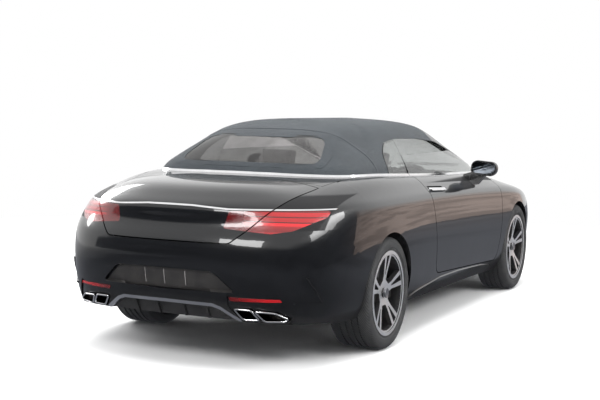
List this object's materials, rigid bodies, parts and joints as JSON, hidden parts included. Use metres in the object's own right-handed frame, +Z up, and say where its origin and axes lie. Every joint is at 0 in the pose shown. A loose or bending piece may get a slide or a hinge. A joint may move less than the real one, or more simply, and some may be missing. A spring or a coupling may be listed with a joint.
{
  "type": "convertible car",
  "caption": "Large two-door, four-seat soft-top convertible car, roof closed, with opening doors, bonnet and boot lid, steered front wheels and turning wheels.",
  "frame": {"origin": "on the ground, midway between the ends of the bumpers and between the two sides", "axes": "+X to the front of the car, +Y to its left side, +Z up"},
  "size_m": [5.0594, 2.1256, 1.431],
  "materials": {
    "body_paint": "deep gloss black metallic clear coat",
    "roof_fabric": "dark woven roof cloth",
    "clear_glass": "tinted safety glass",
    "red_lamp": "red lamp lens",
    "clear_lamp": "clear lamp lens",
    "bright_trim": "bright polished trim",
    "black_trim": "gloss black plastic",
    "under_plastic": "grained black plastic",
    "floor_metal": "dark underbody coating",
    "chassis_metal": "cast and forged metal",
    "rim_alloy": "machined and painted alloy",
    "tyre_rubber": "black tyre rubber",
    "cabin_leather": "dark grained leather"
  },
  "bodies": {
    "root": {"body_side_left": "body_paint", "body_side_right": "body_paint", "fender_left": "body_paint", "fender_right": "body_paint", "tonneau_cover": "body_paint", "front_bumper": "body_paint", "rear_bumper": "body_paint", "tail_lamps": "red_lamp", "headlamps": "clear_lamp", "diffuser": "black_trim", "arch_liners": "under_plastic", "windscreen": "clear_glass", "rear_glass": "clear_glass", "quarter_glass": "clear_glass", "windscreen_frame": "black_trim", "soft_top": "roof_fabric", "belt_trim": "bright_trim", "cowl": "black_trim", "front_axle": "chassis_metal", "rear_axle": "chassis_metal", "floor_pan": "floor_metal", "engine_block": "chassis_metal", "radiator": "under_plastic", "grille": "black_trim", "exhaust": "bright_trim", "front_seats": "cabin_leather", "rear_seat": "cabin_leather", "dashboard": "cabin_leather"},
    "door_left": {"door_left": "body_paint", "door_glass_left": "clear_glass", "door_trim_left": "bright_trim", "mirror_left": "body_paint"},
    "door_right": {"door_right": "body_paint", "door_glass_right": "clear_glass", "door_trim_right": "bright_trim", "mirror_right": "body_paint"},
    "bonnet": {"bonnet": "body_paint"},
    "boot_lid": {"boot_lid": "body_paint", "boot_lamps": "red_lamp", "boot_trim": "bright_trim"},
    "knuckle_left": {"knuckle_left": "chassis_metal"},
    "knuckle_right": {"knuckle_right": "chassis_metal"},
    "wheel_front_left": {"wheel_front_left": "rim_alloy", "tyre_front_left": "tyre_rubber"},
    "wheel_front_right": {"wheel_front_right": "rim_alloy", "tyre_front_right": "tyre_rubber"},
    "wheel_rear_left": {"wheel_rear_left": "rim_alloy", "tyre_rear_left": "tyre_rubber"},
    "wheel_rear_right": {"wheel_rear_right": "rim_alloy", "tyre_rear_right": "tyre_rubber"},
    "steering_wheel": {"steering_wheel": "cabin_leather"}
  },
  "joints": [
    {"name": "left_door", "type": "hinge", "parent": "root", "child": "door_left", "pos_m": [1.07, 0.935, 0.6], "axis": [0, 0, -1], "range_deg": [0, 65]},
    {"name": "right_door", "type": "hinge", "parent": "root", "child": "door_right", "pos_m": [1.07, -0.935, 0.6], "axis": [0, 0, 1], "range_deg": [0, 65]},
    {"name": "bonnet_hinge", "type": "hinge", "parent": "root", "child": "bonnet", "pos_m": [1.3, 0, 0.925], "axis": [0, -1, 0], "range_deg": [0, 50]},
    {"name": "boot_hinge", "type": "hinge", "parent": "root", "child": "boot_lid", "pos_m": [-1.73, 0, 1.028], "axis": [0, 1, 0], "range_deg": [0, 70]},
    {"name": "steer_left", "type": "hinge", "parent": "root", "child": "knuckle_left", "pos_m": [1.607, 0.743, 0.356], "axis": [0, 0, 1], "range_deg": [-35, 35]},
    {"name": "steer_right", "type": "hinge", "parent": "root", "child": "knuckle_right", "pos_m": [1.607, -0.743, 0.356], "axis": [0, 0, 1], "range_deg": [-35, 35]},
    {"name": "steering_wheel_turn", "type": "hinge", "parent": "root", "child": "steering_wheel", "pos_m": [0.505, -0.37, 0.88], "axis": [-0.9063, 0, 0.4226], "range_deg": [-430, 430]},
    {"name": "spin_front_left", "type": "hinge", "parent": "knuckle_left", "child": "wheel_front_left", "pos_m": [1.607, 0.813, 0.356], "axis": [0, 1, 0], "continuous": true},
    {"name": "spin_rear_left", "type": "hinge", "parent": "root", "child": "wheel_rear_left", "pos_m": [-1.338, 0.804, 0.354], "axis": [0, 1, 0], "continuous": true},
    {"name": "spin_front_right", "type": "hinge", "parent": "knuckle_right", "child": "wheel_front_right", "pos_m": [1.607, -0.813, 0.356], "axis": [0, 1, 0], "continuous": true},
    {"name": "spin_rear_right", "type": "hinge", "parent": "root", "child": "wheel_rear_right", "pos_m": [-1.338, -0.804, 0.354], "axis": [0, 1, 0], "continuous": true}
  ],
  "couplings": [
    {"joint": "steer_right", "follows": "steer_left", "ratio": 1},
    {"joint": "steering_wheel_turn", "follows": "steer_left", "ratio": 12}
  ]
}
